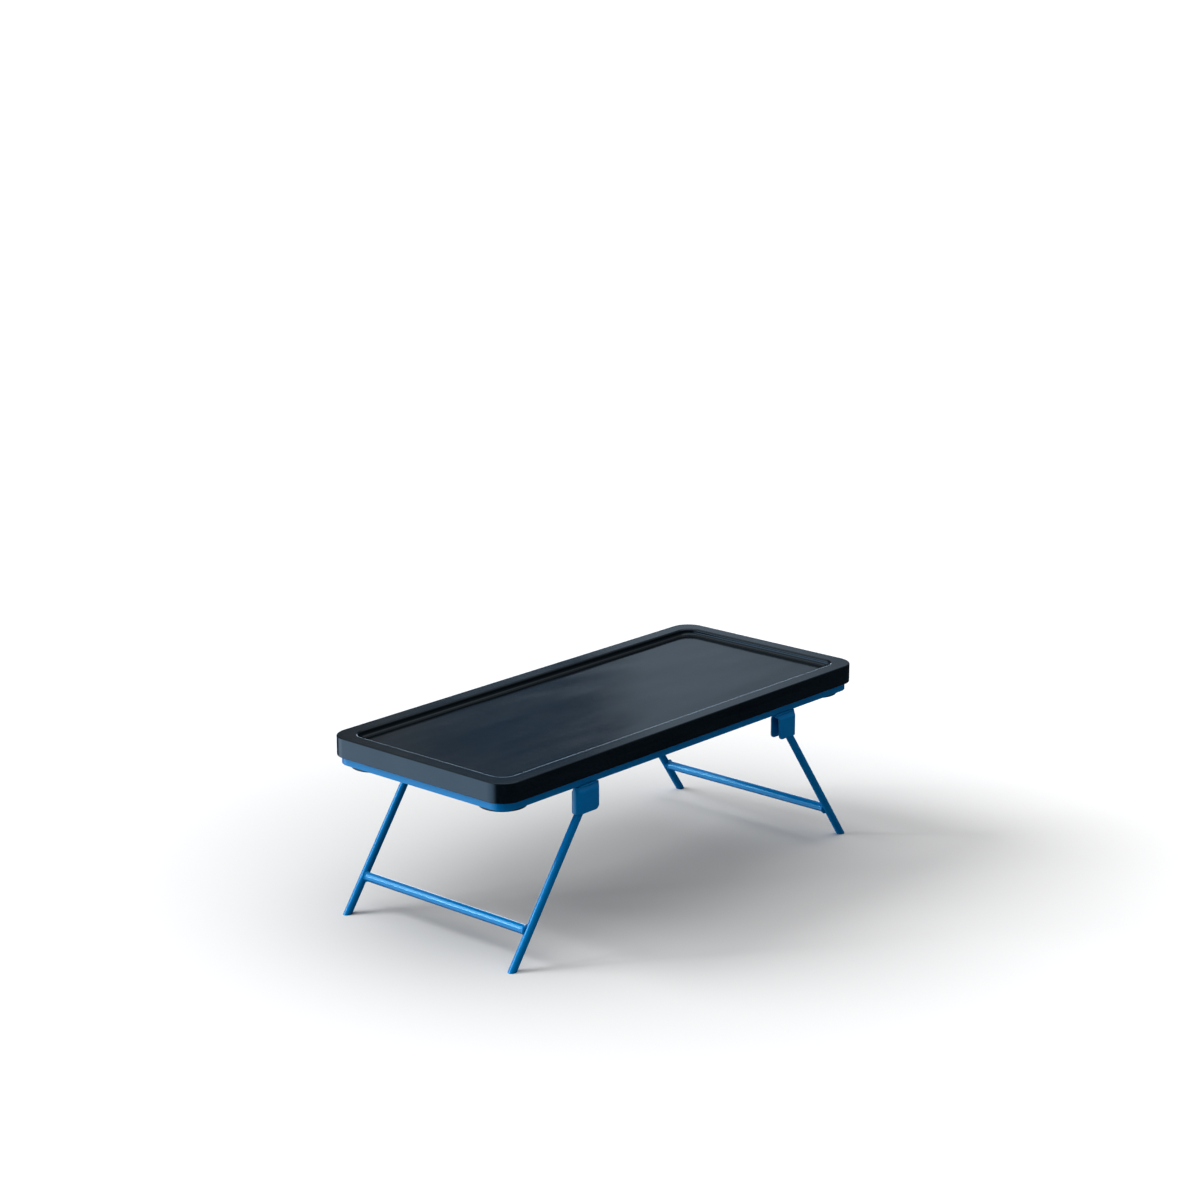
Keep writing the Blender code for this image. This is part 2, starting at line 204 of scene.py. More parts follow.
COOL_WHITE = (0.76, 1.0, 1.26)
BLUE = (0.0, 0.42, 1.0)

# The four corners as (name, side along X, side along Y)
CORNERS = (
    ("front_left", -1, -1),
    ("front_right", 1, -1),
    ("back_left", -1, 1),
    ("back_right", 1, 1),
)


def middle(node):
    low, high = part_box(node)
    return (low + high) / 2


HINGE_X = abs(middle("hinge_pin_back_right").x)
ROD_Y = abs(middle("leg_rod_back_right").y)


# ---- mesh helpers ----


def arc(centre_a, centre_b, radius, start, end, steps):
    """Points on an arc, as (a, b) pairs, angles in degrees."""
    points = []
    for step in range(steps + 1):
        angle = math.radians(start + (end - start) * step / steps)
        points.append((centre_a + radius * math.cos(angle), centre_b + radius * math.sin(angle)))
    return points


def rounded_outline(half_x, half_y, radius, steps):
    """Points of a rounded rectangle, anticlockwise."""
    points = []
    for corner in range(4):
        centre_x = (1, -1, -1, 1)[corner] * (half_x - radius)
        centre_y = (1, 1, -1, -1)[corner] * (half_y - radius)
        points += arc(centre_x, centre_y, radius, 90 * corner, 90 * corner + 90, steps)
    return points


def dome(radius, rise):
    """(radius, distance) pairs from near a dome's tip to its rim."""
    points = []
    for step in range(1, DOME_STEPS + 1):
        angle = math.pi / 2 * step / DOME_STEPS
        points.append((radius * math.sin(angle), rise * (1 - math.cos(angle))))
    return points


def closing_in(length, steps):
    """Distances from 0 to length, closest together at the start."""
    return [length * (1 - math.cos(math.pi / 2 * step / steps)) for step in range(steps + 1)]


def circle(centre, turn, radius, steps):
    """Points of a circle about the third axis of the rotation turn."""
    points = []
    for step in range(steps):
        angle = 2 * math.pi * step / steps
        points.append(centre + turn @ Vector((radius * math.cos(angle), radius * math.sin(angle), 0)))
    return points


def join_rings(bm, lower, upper):
    count = len(lower)
    for index in range(count):
        after = (index + 1) % count
        bm.faces.new((lower[index], lower[after], upper[after], upper[index]))


def loft(bm, rings, closed_loop=False):
    """Join rings of points in order; either cap both ends or join the last to the first."""
    verts = [[bm.verts.new(point) for point in ring] for ring in rings]
    for lower, upper in zip(verts, verts[1:]):
        join_rings(bm, lower, upper)
    if closed_loop:
        join_rings(bm, verts[-1], verts[0])
    else:
        bm.faces.new(list(reversed(verts[0])))
        bm.faces.new(verts[-1])


def turned(bm, profile, origin, direction, steps):
    """Turn (radius, distance) pairs about a line from origin along direction."""
    direction = Vector(direction).normalized()
    turn = direction.to_track_quat("Z", "Y").to_matrix()
    rings = []
    for radius, distance in profile:
        rings.append(circle(Vector(origin) + direction * distance, turn, radius, steps))
    loft(bm, rings)


def bore(radius, length, origin, direction, steps):
    """A closed cylinder to cut with."""
    bm = bmesh.new()
    turned(bm, [(radius, 0), (radius, length)], origin, direction, steps)
    return bm


def make_object(name, bm):
    bmesh.ops.recalc_face_normals(bm, faces=bm.faces)
    mesh = bpy.data.meshes.new(name)
    bm.to_mesh(mesh)
    bm.free()
    item = bpy.data.objects.new(name, mesh)
    bpy.context.scene.collection.objects.link(item)
    return item


def cut(item, cutter_meshes):
    """Take closed shapes away from an object's mesh for good."""
    cutters = [make_object("cutter", bm) for bm in cutter_meshes]
    for cutter in cutters:
        modifier = item.modifiers.new("cut", "BOOLEAN")
        modifier.operation = "DIFFERENCE"
        modifier.solver = "EXACT"
        modifier.object = cutter
    depsgraph = bpy.context.evaluated_depsgraph_get()
    result = bpy.data.meshes.new_from_object(item.evaluated_get(depsgraph))
    item.modifiers.clear()
    item.data = result
    for cutter in cutters:
        bpy.data.objects.remove(cutter, do_unlink=True)


def finish_piece(item, node, body, material):
    """Shade a piece, give it its material, and let it stand for its CAD node."""
    item.data.materials.clear()
    item.data.materials.append(material)
    item.data.shade_smooth()
    item.data.set_sharp_from_angle(angle=math.radians(SHARP_ANGLE))
    normals = item.modifiers.new("weighted_normals", "WEIGHTED_NORMAL")
    normals.keep_sharp = True
    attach(item, body)
    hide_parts(node)
    return item


# ---- material helpers ----


class Nodes:
    """A material's node tree with short ways to add nodes and wires."""

    def __init__(self, name):
        self.material = bpy.data.materials.new(name)
        self.material.use_nodes = True
        self.tree = self.material.node_tree
        self.shader = self.tree.nodes["Principled BSDF"]
        self.place = self.add("ShaderNodeTexCoord").outputs["Object"]

    def add(self, kind, **settings):
        node = self.tree.nodes.new(kind)
        for key, value in settings.items():
            setattr(node, key, value)
        return node

    def wire(self, output, socket):
        self.tree.links.new(output, socket)

    def noise(self, scale, detail=2.0, roughness=0.5, stretch=(1, 1, 1), distortion=0.0):
        """Noise over the object's own coordinates; stretch multiplies the coordinates."""
        mapping = self.add("ShaderNodeMapping")
        mapping.inputs["Scale"].default_value = stretch
        self.wire(self.place, mapping.inputs["Vector"])
        noise = self.add("ShaderNodeTexNoise")
        noise.inputs["Scale"].default_value = scale
        noise.inputs["Detail"].default_value = detail
        noise.inputs["Roughness"].default_value = roughness
        noise.inputs["Distortion"].default_value = distortion
        self.wire(mapping.outputs["Vector"], noise.inputs["Vector"])
        return noise.outputs["Fac"]

    def range(self, value, from_low, from_high, to_low, to_high):
        node = self.add("ShaderNodeMapRange")
        node.inputs["From Min"].default_value = from_low
        node.inputs["From Max"].default_value = from_high
        node.inputs["To Min"].default_value = to_low
        node.inputs["To Max"].default_value = to_high
        self.wire(value, node.inputs["Value"])
        return node.outputs["Result"]

    def mix(self, factor, colour_a, colour_b):
        """Blend two colours, each a tuple or an output."""
        node = self.add("ShaderNodeMix", data_type="RGBA")
        self.wire(factor, node.inputs["Factor"])
        sockets = [s for s in node.inputs if s.type == "RGBA"]
        for socket, colour in zip(sockets, (colour_a, colour_b)):
            if isinstance(colour, tuple):
                socket.default_value = (*colour, 1.0)
            else:
                self.wire(colour, socket)
        return [s for s in node.outputs if s.type == "RGBA"][0]

    def bump(self, height, distance, after=None):
        """Bump of a height in metres, on top of another bump if one is given."""
        node = self.add("ShaderNodeBump")
        node.inputs["Distance"].default_value = distance
        node.inputs["Strength"].default_value = 1.0
        self.wire(height, node.inputs["Height"])
        if after is not None:
            self.wire(after, node.inputs["Normal"])
        return node.outputs["Normal"]

    def set(self, **values):
        """Set plain values on the shader; underscores stand for spaces."""
        for key, value in values.items():
            self.shader.inputs[key.replace("_", " ")].default_value = value


def wood_material():
    """Black-blue stained wood under satin lacquer, grain along X."""
    nodes = Nodes("stained_wood")
    figure = nodes.noise(1.0, 3.0, 0.55, stretch=(5, 55, 55), distortion=0.6)
    grain = nodes.noise(1.0, 4.0, 0.6, stretch=(22, 480, 480))
    pores = nodes.noise(1.0, 2.0, 0.5, stretch=(110, 2600, 2600))
    colour = nodes.mix(nodes.range(figure, 0.3, 0.7, 0, 1), *WOOD)
    colour = nodes.mix(nodes.range(grain, 0.42, 0.75, 0, 0.55), colour, WOOD_GRAIN)
    colour = nodes.mix(nodes.range(pores, 0.62, 0.72, 0, 0.7), colour, WOOD_PORES)
    nodes.wire(colour, nodes.shader.inputs["Base Color"])
    clouds = nodes.noise(1.0, 3.0, 0.6, stretch=(9, 34, 34), distortion=0.4)
    nodes.wire(nodes.range(clouds, 0.3, 0.7, 0.06, 0.12), nodes.shader.inputs["Roughness"])
    wave = nodes.noise(1.0, 1.0, 0.4, stretch=(8, 22, 22))
    normal = nodes.bump(wave, 0.0008)
    normal = nodes.bump(grain, 0.00002, after=normal)
    normal = nodes.bump(pores, 0.00001, after=normal)
    nodes.wire(normal, nodes.shader.inputs["Normal"])
    nodes.set(Specular_IOR_Level=0.35, Specular_Tint=LACQUER_SHINE)
    return nodes.material


def paint_material():
    """Gloss blue powder coat with a fine orange-peel skin."""
    nodes = Nodes("blue_powder_coat")
    drift = nodes.noise(45.0, 3.0, 0.6)
    peel = nodes.noise(1100.0, 1.0, 0.5)
    colour = nodes.mix(nodes.range(drift, 0.3, 0.7, 0, 1), *PAINT)
    nodes.wire(colour, nodes.shader.inputs["Base Color"])
    nodes.wire(nodes.range(drift, 0.3, 0.7, 0.12, 0.17), nodes.shader.inputs["Roughness"])
    nodes.wire(nodes.bump(peel, 0.000012), nodes.shader.inputs["Normal"])
    nodes.set(Specular_IOR_Level=0.34, Specular_Tint=PAINT_SHINE)
    return nodes.material


def rubber_material():
    """Dull black rubber with a little dust."""
    nodes = Nodes("black_rubber")
    dust = nodes.noise(90.0, 4.0, 0.65)
    skin = nodes.noise(1500.0, 2.0, 0.6)
    colour = nodes.mix(nodes.range(dust, 0.35, 0.75, 0, 1), *RUBBER)
    nodes.wire(colour, nodes.shader.inputs["Base Color"])
    nodes.wire(nodes.range(dust, 0.3, 0.7, 0.62, 0.80), nodes.shader.inputs["Roughness"])
    nodes.wire(nodes.bump(skin, 0.00004), nodes.shader.inputs["Normal"])
    return nodes.material


def zinc_material():
    """Zinc plate with faint stains and fine scratches."""
    nodes = Nodes("zinc_plate")
    stain = nodes.noise(420.0, 3.0, 0.6)
    scratch = nodes.noise(1.0, 3.0, 0.6, stretch=(900, 5200, 900))
    colour = nodes.mix(nodes.range(stain, 0.3, 0.7, 0, 1), *ZINC)
    nodes.wire(colour, nodes.shader.inputs["Base Color"])
    nodes.wire(nodes.range(scratch, 0.3, 0.7, 0.26, 0.42), nodes.shader.inputs["Roughness"])
    nodes.wire(nodes.bump(scratch, 0.00001), nodes.shader.inputs["Normal"])
    nodes.set(Metallic=1.0)
    return nodes.material


# ---- tray ----


def board_profile(top, bottom):
    """(inset, height) pairs from the underside, round the edge and down into the recess."""
    floor = top - RECESS_DEPTH
    cove_inset = RECESS_WALL + RECESS_COVE
    profile = arc(BOARD_EASE, bottom + BOARD_EASE, BOARD_EASE, 270, 180, EASE_STEPS)
    profile += arc(BOARD_EASE, top - BOARD_EASE, BOARD_EASE, 180, 90, TOP_EASE_STEPS)
    profile += arc(RIM_WIDTH, top - LIP_EASE, LIP_EASE, 90, 0, LIP_STEPS)
    profile += arc(cove_inset, floor + RECESS_COVE, RECESS_COVE, 180, 270, LIP_STEPS)[1:]
    return profile


def board_corner_at(inset):
    """Corner radius of the board's outline at an inset from its edge."""
    if inset <= BOARD_EASE:
        return BOARD_CORNER - inset
    return RECESS_CORNER + RECESS_WALL - inset


def build_board(material):
    """Slab with a shallow recess and a blind hole over each pad for its screw."""
    low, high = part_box("board")
    bm = bmesh.new()
    rings = []
    for inset, height in board_profile(high.z, low.z):
        outline = rounded_outline(high.x - inset, high.y - inset, board_corner_at(inset), CORNER_STEPS)
        rings.append([(x, y, height) for x, y in outline])
    loft(bm, rings)
    board = make_object("tray_board", bm)
    holes = []
    for name, _, _ in CORNERS:
        screw = middle("pad_screw_" + name)
        screw_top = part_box("pad_screw_" + name)[1].z
        start = (screw.x, screw.y, low.z - 2 * OVERRUN)
        depth = screw_top + SCREW_TIP_ROOM - start[2]
        holes.append(bore(SCREW_SHANK + SCREW_PLAY, depth, start, (0, 0, 1), 32))
    cut(board, holes)
    return finish_piece(board, "board", "tray", material)


def build_pad(name, material):
    """Round rubber pad with a sink for the screw's head from below."""
    low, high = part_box("pad_" + name)
    radius = (high.x - low.x) / 2
    height = high.z - low.z
    place = middle("pad_" + name)
    start = (place.x, place.y, low.z)
    profile = [(radius - PAD_CHAMFER, 0)]
    profile += arc(radius - PAD_FOOT_EASE, PAD_FOOT_EASE, PAD_FOOT_EASE, 300, 360, 6)
    profile += arc(radius - PAD_TOP_EASE, height - PAD_TOP_EASE, PAD_TOP_EASE, 0, 90, 3)
    bm = bmesh.new()
    turned(bm, profile, start, (0, 0, 1), 96)
    pad = make_object("rubber_pad_" + name, bm)
    sink = [(PAD_SINK_RADIUS + OVERRUN, -OVERRUN), (PAD_SINK_RADIUS + PAD_SINK_FLARE, 0)]
    sink += [(PAD_SINK_RADIUS, PAD_SINK_FLARE_DEPTH), (PAD_SINK_RADIUS, PAD_SINK_WALL_DEPTH)]
    sink += [(PAD_HOLE, PAD_SINK_DEPTH), (PAD_HOLE, height + OVERRUN)]
    hole = bmesh.new()
    turned(hole, sink, start, (0, 0, 1), 48)
    cut(pad, [hole])
    finish_piece(pad, "pad_" + name, "tray", material)


def build_screw(name, material):
    """Countersunk screw with a slightly domed, slotted head, facing down."""
    low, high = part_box("pad_screw_" + name)
    radius = (high.x - low.x) / 2
    length = high.z - low.z
    place = middle("pad_screw_" + name)
    start = (place.x, place.y, low.z)
    profile = [(radius * 0.35, 0), (radius * 0.7, SCREW_DOME_RISE)]
    profile += [(radius - SCREW_EDGE_INSET, SCREW_EDGE_START), (radius, SCREW_EDGE_END)]
    profile += [(SCREW_SHANK, SCREW_HEAD_HEIGHT)]
    profile += thread(SCREW_HEAD_HEIGHT + SCREW_NECK, length - SCREW_TIP)
    profile += [(SCREW_SHANK * 0.3, length)]
    bm = bmesh.new()
    turned(bm, profile, start, (0, 0, 1), 48)
    screw = make_object("screw_" + name, bm)
    slot = bmesh.new()
    bmesh.ops.create_cube(slot, size=1.0)
    bmesh.ops.scale(slot, verts=slot.verts, vec=(SCREW_SLOT_LENGTH, SCREW_SLOT, 2 * SCREW_SLOT_DEPTH))
    bmesh.ops.translate(slot, verts=slot.verts, vec=start)
    cut(screw, [slot])
    finish_piece(screw, "pad_screw_" + name, "tray", material)


def thread(start, end):
    """Ridges of a screw's thread, as (radius, distance) pairs."""
    points = []
    for turn in range(int((end - start) / THREAD_PITCH)):
        root = start + turn * THREAD_PITCH
        points += [(THREAD_ROOT, root), (SCREW_SHANK, root + THREAD_CREST)]
    return points + [(THREAD_ROOT, end)]


# ---- steel frame ----


def build_ring(material):
    """Flat bar bent on edge into a rounded rectangle."""
    low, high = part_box("frame_ring")
    ease = RING_EASE
    section = arc(ease, low.z + ease, ease, 270, 180, EASE_STEPS)
    section += arc(ease, high.z - ease, ease, 180, 90, EASE_STEPS)
    section += arc(RING_BAR - ease, high.z - ease, ease, 90, 0, EASE_STEPS)
    section += arc(RING_BAR - ease, low.z + ease, ease, 0, -90, EASE_STEPS)
    bm = bmesh.new()
    rings = []
    for inset, height in section:
        outline = rounded_outline(high.x - inset, high.y - inset, RING_CORNER - inset, CORNER_STEPS)
        rings.append([(x, y, height) for x, y in outline])
    loft(bm, rings, closed_loop=True)
    finish_piece(make_object("ring", bm), "frame_ring", "frame", material)


def strap_path(inboard, outboard, width):
    """Middle line of a strap from one open end round the bend to the other.

    Each entry is (outboard position, across position, normal angle, distance to the nearest end).
    """
    across = width / 2 - STRAP / 2
    bend = outboard - width / 2
    straight = bend - inboard
    side = closing_in(STRAP_EASE, 3)[:-1]
    side += [STRAP_EASE + distance for distance in closing_in(STRAP_CORNER - STRAP_EASE, 10)]
    side.append(straight)
    path = [(inboard + distance, -across, -90, distance) for distance in side]
    for step in range(1, BEND_STEPS):
        angle = -90 + 180 * step / BEND_STEPS
        turn = math.radians(angle)
        path.append((bend + across * math.cos(turn), across * math.sin(turn), angle, straight))
    path += [(inboard + distance, across, 90, distance) for distance in reversed(side)]
    return path


def rounding(radius, distance):
    """How far a rounded corner has drawn an edge in, at a distance from the corner's tip."""
    reach = max(radius - distance, 0.0)
    return radius - math.sqrt(max(radius**2 - reach**2, 0.0))


def strap_section(low, top, distance):
    """Closed outline of the strap as (shift from its middle, height), edges eased."""
    half = STRAP / 2 - rounding(STRAP_EASE, distance)
    bottom = low + rounding(STRAP_CORNER, distance)
    shoulder = top - SHOULDER_HEIGHT
    climb = [shoulder + SHOULDER_HEIGHT * step / SHOULDER_STEPS for step in range(SHOULDER_STEPS + 1)]
    outline = arc(half - STRAP_EASE, bottom + STRAP_EASE, STRAP_EASE, 270, 360, 4)
    outline += [(half, z) for z in climb]
    outline += [(-half, z) for z in reversed(climb)]
    outline += arc(STRAP_EASE - half, bottom + STRAP_EASE, STRAP_EASE, 180, 270, 4)
    return outline


def drawn_in(height, top):
    """Smooth share of the way up the shoulder at a height, from 0 below it to 1 at the top."""
    share = max(height - top + SHOULDER_HEIGHT, 0.0) / SHOULDER_HEIGHT
    return 3 * share**2 - 2 * share**3


def build_bracket(name, side_x, side_y, material):
    """Strap bent into a U, open inboard, with the pin's hole in its inner plate and its welds."""
    low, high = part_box("bracket_" + name)
    inboard, outboard = sorted((abs(low.x), abs(high.x)))
    inboard += TOP_FLARE
    centre_y = (low.y + high.y) / 2
    bm = bmesh.new()
    sections = []
    for along, across, angle, distance in strap_path(inboard, outboard, high.y - low.y):
        out_x = math.cos(math.radians(angle))
        out_y = math.sin(math.radians(angle))
        flare = TOP_FLARE * max(1 - distance / STRAP_CORNER, 0.0)
        section = []
        for offset, height in strap_section(low.z, high.z, distance):
            share = drawn_in(height, high.z)
            shift = offset - SHOULDER_INSET * share * out_y**2
            x = side_x * (along - flare * share + shift * out_x)
            section.append((x, centre_y + across + shift * out_y, height))
        sections.append(section)
    loft(bm, sections)
    bracket = make_object("strap_bracket_" + name, bm)
    inner = min(abs(low.y), abs(high.y)) - OVERRUN
    start = (side_x * HINGE_X, side_y * inner, HINGE_Z)
    cut(bracket, [bore(PIN_HOLE, OVERRUN + 2 * STRAP, start, (0, side_y, 0), 40)])
    half = (high.y - low.y) / 2
    weld_ends = (side_x * (inboard - TOP_FLARE * BEAD_OVER_FLARE), side_x * (outboard - half))
    weld_sides = (centre_y - half + SHOULDER_INSET, centre_y + half - SHOULDER_INSET)
    add_weld_beads(bracket, weld_ends, weld_sides, high.z)
    finish_piece(bracket, "bracket_" + name, "frame", material)


def add_bead(bm, start, end, shift):
    """A weld bead between two points, rippled and tapered at its ends; shift moves its ripples."""
    length = (end - start).length
    count = int(length / BEAD_PITCH) * BEAD_STEPS
    turn = (end - start).to_track_quat("Z", "Y").to_matrix()
    rings = []
    for step in range(count + 1):
        share = step / count
        ripple = 1 + BEAD_RIPPLE * math.sin(2 * math.pi * step / BEAD_STEPS + shift)
        taper = math.sqrt(max(1 - abs(2 * share - 1) ** 8, BEAD_TIP))
        rings.append(circle(start.lerp(end, share), turn, BEAD_RADIUS * ripple * taper, BEAD_SIDES))
    loft(bm, rings)


def add_weld_beads(bracket, ends, sides, top):
    """Beads along both sides of the ring's bar, where the strap's drawn-in top meets it."""
    bm = bmesh.new()
    bm.from_mesh(bracket.data)
    strap_faces = set(bm.faces)
    for order, y in enumerate(sides):
        start, end = [Vector((x, y, top)) for x in ends]
        add_bead(bm, start, end, order * BEAD_SHIFT)
    bead_faces = [face for face in bm.faces if face not in strap_faces]
    bmesh.ops.recalc_face_normals(bm, faces=bead_faces)
    bm.to_mesh(bracket.data)
    bm.free()


def build_pin(name, side_x, side_y, material):
    """Rivet pin with a domed head on the strap's inner plate."""
    low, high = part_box("hinge_pin_" + name)
    head_radius = (high.z - low.z) / 2
    length = high.y - low.y
    start = (side_x * HINGE_X, side_y * min(abs(low.y), abs(high.y)), HINGE_Z)
    profile = dome(head_radius, PIN_HEAD_HEIGHT - PIN_EDGE)
    profile += [(head_radius, PIN_HEAD_HEIGHT), (PIN_RADIUS, PIN_HEAD_HEIGHT)]
    profile += [(PIN_RADIUS, length - PIN_EDGE), (PIN_RADIUS - PIN_EDGE, length)]
    bm = bmesh.new()
    turned(bm, profile, start, (0, side_y, 0), 48)
    finish_piece(make_object("rivet_" + name, bm), "hinge_pin_" + name, "frame", material)


# ---- legs ----


def rod_line(side_x, side_y):
    """Hinge point and foot point of one leg rod's middle line."""
    hinge = Vector((side_x * HINGE_X, side_y * ROD_Y, HINGE_Z))
    foot = Vector((side_x * FOOT_X, side_y * ROD_Y, 0))
    return hinge, foot


def build_rod(name, side_x, side_y, material):
    """Round rod with a domed top, a cross hole for the pin and a foot cut level."""
    hinge, foot = rod_line(side_x, side_y)
    down = (foot - hinge).normalized()
    turn = down.to_track_quat("Z", "Y").to_matrix()
    top = hinge - down * ROD_ABOVE_PIN
    rings = []
    for radius, distance in dome(ROD_RADIUS, ROD_DOME):
        rings.append(circle(top + down * distance, turn, radius, ROD_SIDES))
    for inset, height in ((0, FOOT_EASE), (FOOT_EASE * 0.3, FOOT_EASE * 0.3), (FOOT_EASE, 0)):
        level = []
        for point in circle(foot, turn, ROD_RADIUS - inset, ROD_SIDES):
            level.append(point + down * ((height - point.z) / down.z))
        rings.append(level)
    bm = bmesh.new()
    loft(bm, rings)
    rod = make_object("rod_" + name, bm)
    start = (hinge.x, hinge.y - REACH_ACROSS_ROD, hinge.z)
    cut(rod, [bore(PIN_HOLE, 2 * REACH_ACROSS_ROD, start, (0, 1, 0), 40)])
    body = "left_leg" if side_x < 0 else "right_leg"
    finish_piece(rod, "leg_rod_" + name, body, material)


def weld_flare(start):
    """(radius, distance) pairs of a crossbar swelling into its weld, ripples fading at both ends."""
    flare = [(CROSSBAR_RADIUS, start - WELD_TOE)]
    for step in range(1, WELD_STEPS + 1):
        share = step / WELD_STEPS
        ripple = WELD_RIPPLE * math.sin(2 * math.pi * share * WELD_RIPPLES)
        swell = (WELD_RADIUS - CROSSBAR_RADIUS) * share**2 + ripple * share * (1 - share) * 4
        flare.append((CROSSBAR_RADIUS + swell, start + WELD_LENGTH * share))
    flare.append((WELD_RADIUS - WELD_END_INSET, start + WELD_LENGTH + WELD_END_LENGTH))
    return flare


def build_crossbar(name, side_x, material):
    """Round bar between the rods; each end swells into a rippled weld fitted round its rod."""
    ends = []
    copes = []
    for side_y in (-1, 1):
        hinge, foot = rod_line(side_x, side_y)
        down = (foot - hinge).normalized()
        end = hinge.lerp(foot, (HINGE_Z - CROSSBAR_Z) / HINGE_Z)
        start = end - down * REACH_ALONG_ROD
        ends.append(end)
        copes.append(bore(ROD_RADIUS + WELD_GAP, 2 * REACH_ALONG_ROD, start, down, 80))
    flare = weld_flare(ROD_Y - ROD_RADIUS - WELD_LENGTH + WELD_BITE)
    profile = [(radius, -distance) for radius, distance in reversed(flare)] + flare
    bm = bmesh.new()
    turned(bm, profile, ends[0].lerp(ends[1], 0.5), (0, 1, 0), ROD_SIDES)
    bar = make_object("cross_bar_" + name, bm)
    cut(bar, copes)
    finish_piece(bar, "crossbar_" + name, name + "_leg", material)


# ---- studio ----


def aim_camera():
    """A long lens, looking down on the stand from beyond its left front corner."""
    data = bpy.data.cameras.new("camera")
    data.sensor_width = 36.0
    data.lens = CAMERA_LENS
    data.clip_start = 0.1
    data.clip_end = 200.0
    camera = bpy.data.objects.new("camera", data)
    bpy.context.scene.collection.objects.link(camera)
    cosine = math.cos(CAMERA_YAW)
    sine = math.sin(CAMERA_YAW)
    camera.location = (
        -cosine * CAMERA_ASIDE - sine * CAMERA_BACK,
        sine * CAMERA_ASIDE - cosine * CAMERA_BACK,
        CAMERA_HEIGHT,
    )
    camera.rotation_euler = (math.pi / 2 - CAMERA_PITCH, 0, -CAMERA_YAW)
    bpy.context.scene.camera = camera


def lay_floor():
    """A wide pale floor with painted shade round the stand, greyer there; pieces don't mirror it and
    get less light off it.
    """
    bm = bmesh.new()
    bmesh.ops.create_grid(bm, x_segments=8, y_segments=8, size=FLOOR_HALF)
    floor = make_object("floor", bm)
    floor.visible_glossy = False
    floor.location = FLOOR_CENTRE
    nodes = Nodes("pale_floor_with_painted_shade")
    # Painted shade: the floor's colour goes grey near the stand and fades to white further out,
    # standing in for the shadow round it.
    distance = nodes.add("ShaderNodeVectorMath", operation="LENGTH")
    nodes.wire(nodes.place, distance.inputs[0])
    painted_shade_fade = nodes.range(distance.outputs["Value"], FLOOR_SHADE_NEAR, FLOOR_SHADE_FAR, 0, 1)
    cloud = nodes.noise(1.2, 2.0, 0.5)
    painted_shade = nodes.mix(nodes.range(cloud, 0.3, 0.7, 0, 1), FLOOR_PAINTED_SHADE, FLOOR_PAINTED_SHADE_LIGHT)
    pale = nodes.mix(painted_shade_fade, painted_shade, FLOOR_WHITE)
    bounced = nodes.add("ShaderNodeLightPath").outputs["Is Diffuse Ray"]
    nodes.wire(nodes.mix(bounced, pale, FLOOR_BOUNCE), nodes.shader.inputs["Base Color"])
    nodes.set(Roughness=0.9, Specular_IOR_Level=0.0)
    floor.data.materials.append(nodes.material)


def add_sun(name, energy, angle, source):
    """A distant soft light whose rays come from the direction source."""
    data = bpy.data.lights.new(name, "SUN")
    data.energy = energy
    data.angle = math.radians(angle)
    lamp = bpy.data.objects.new(name, data)
    bpy.context.scene.collection.objects.link(lamp)
    lamp.rotation_euler = Vector(source).to_track_quat("Z", "Y").to_euler()
    return lamp


def shade_from(lamps, item):
    """Keep lamps from lighting one piece."""
    apart = bpy.data.collections.new("out_of_the_lamps")
    apart.objects.link(item)
    apart.collection_objects[0].light_linking.link_state = "EXCLUDE"
    for lamp in lamps:
        lamp.light_linking.receiver_collection = apart


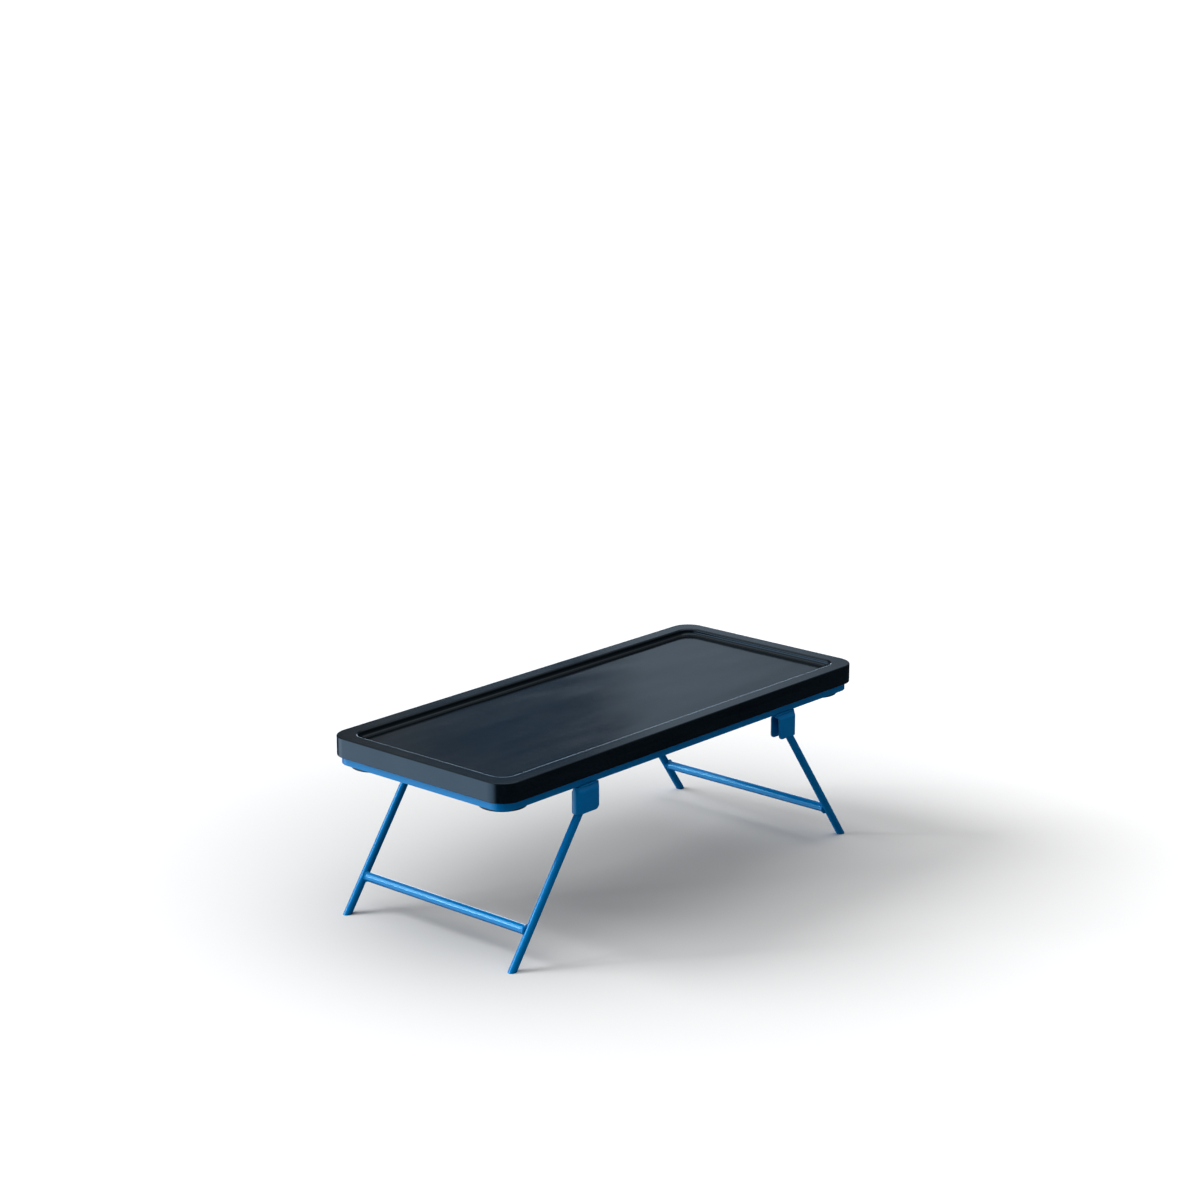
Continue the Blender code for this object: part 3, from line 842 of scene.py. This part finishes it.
class Sky:
    """World nodes that make brightness out of direction."""

    def __init__(self):
        world = bpy.data.worlds.new("studio")
        bpy.context.scene.world = world
        world.use_nodes = True
        self.tree = world.node_tree
        self.tree.nodes.remove(self.tree.nodes["Background"])
        self.output = self.tree.nodes["World Output"].inputs["Surface"]
        self.direction = self.tree.nodes.new("ShaderNodeTexCoord").outputs["Generated"]

    def combine(self, operation, first, second):
        """Add, multiply or compare two outputs."""
        node = self.tree.nodes.new("ShaderNodeMath")
        node.operation = operation
        self.tree.links.new(first, node.inputs[0])
        self.tree.links.new(second, node.inputs[1])
        return node.outputs[0]

    def towards(self, axis, low, high, value_low, value_high):
        """Smooth step between two values as the direction turns towards an axis."""
        dot = self.tree.nodes.new("ShaderNodeVectorMath")
        dot.operation = "DOT_PRODUCT"
        self.tree.links.new(self.direction, dot.inputs[0])
        dot.inputs[1].default_value = Vector(axis).normalized()
        step = self.tree.nodes.new("ShaderNodeMapRange")
        step.interpolation_type = "SMOOTHSTEP"
        self.tree.links.new(dot.outputs["Value"], step.inputs["Value"])
        step.inputs["From Min"].default_value = low
        step.inputs["From Max"].default_value = high
        step.inputs["To Min"].default_value = value_low
        step.inputs["To Max"].default_value = value_high
        return step.outputs["Result"]

    def glow(self, strength, colour):
        """Add light of one colour to the sky."""
        background = self.tree.nodes.new("ShaderNodeBackground")
        background.inputs["Color"].default_value = (*colour, 1.0)
        self.tree.links.new(strength, background.inputs["Strength"])
        if not self.output.links:
            self.tree.links.new(background.outputs[0], self.output)
            return
        total = self.tree.nodes.new("ShaderNodeAddShader")
        self.tree.links.new(self.output.links[0].from_socket, total.inputs[0])
        self.tree.links.new(background.outputs[0], total.inputs[1])
        self.tree.links.new(total.outputs[0], self.output)


def light_studio():
    """Two soft lamps from behind on the left, under a sky of soft patches; returns the lamps.

    The ceiling, a little haze and the left side are warm; what the camera sees directly is white.
    Behind the stand a dim cool wall, with a bluish card in it, is what the tray mirrors. The horizon
    behind and the patch on the left are centred below the floor's level, where only shine shows them.
    """
    lamps = add_sun(*KEY), add_sun(*STRIP)
    sky = Sky()
    overhead = sky.combine("ADD", sky.towards(*CEILING), sky.towards(*HAZE))
    plain = sky.combine("ADD", overhead, sky.towards(*SIDE))
    seen = sky.tree.nodes.new("ShaderNodeLightPath").outputs["Is Camera Ray"]
    sky.glow(sky.combine("MAXIMUM", plain, seen), WARM_WHITE)
    wall = sky.combine("MULTIPLY", sky.towards(*WALL), sky.towards(*CARD_SHADE))
    below = sky.combine("ADD", sky.towards(*HORIZON), sky.towards(*UNDER_LEFT))
    sky.glow(sky.combine("ADD", wall, below), COOL_WHITE)
    sky.glow(sky.towards(*CARD_BLUE), BLUE)
    bpy.context.scene.view_settings.view_transform = "Standard"
    return lamps


def build():
    """Make every piece; returns the tray's board."""
    wood = wood_material()
    paint = paint_material()
    rubber = rubber_material()
    zinc = zinc_material()
    board = build_board(wood)
    build_ring(paint)
    for name, side_x, side_y in CORNERS:
        build_pad(name, rubber)
        build_screw(name, zinc)
        build_bracket(name, side_x, side_y, paint)
        build_pin(name, side_x, side_y, paint)
        build_rod(name, side_x, side_y, paint)
    build_crossbar("left", -1, paint)
    build_crossbar("right", 1, paint)
    return board


aim_camera()
lay_floor()
shade_from(light_studio(), build())
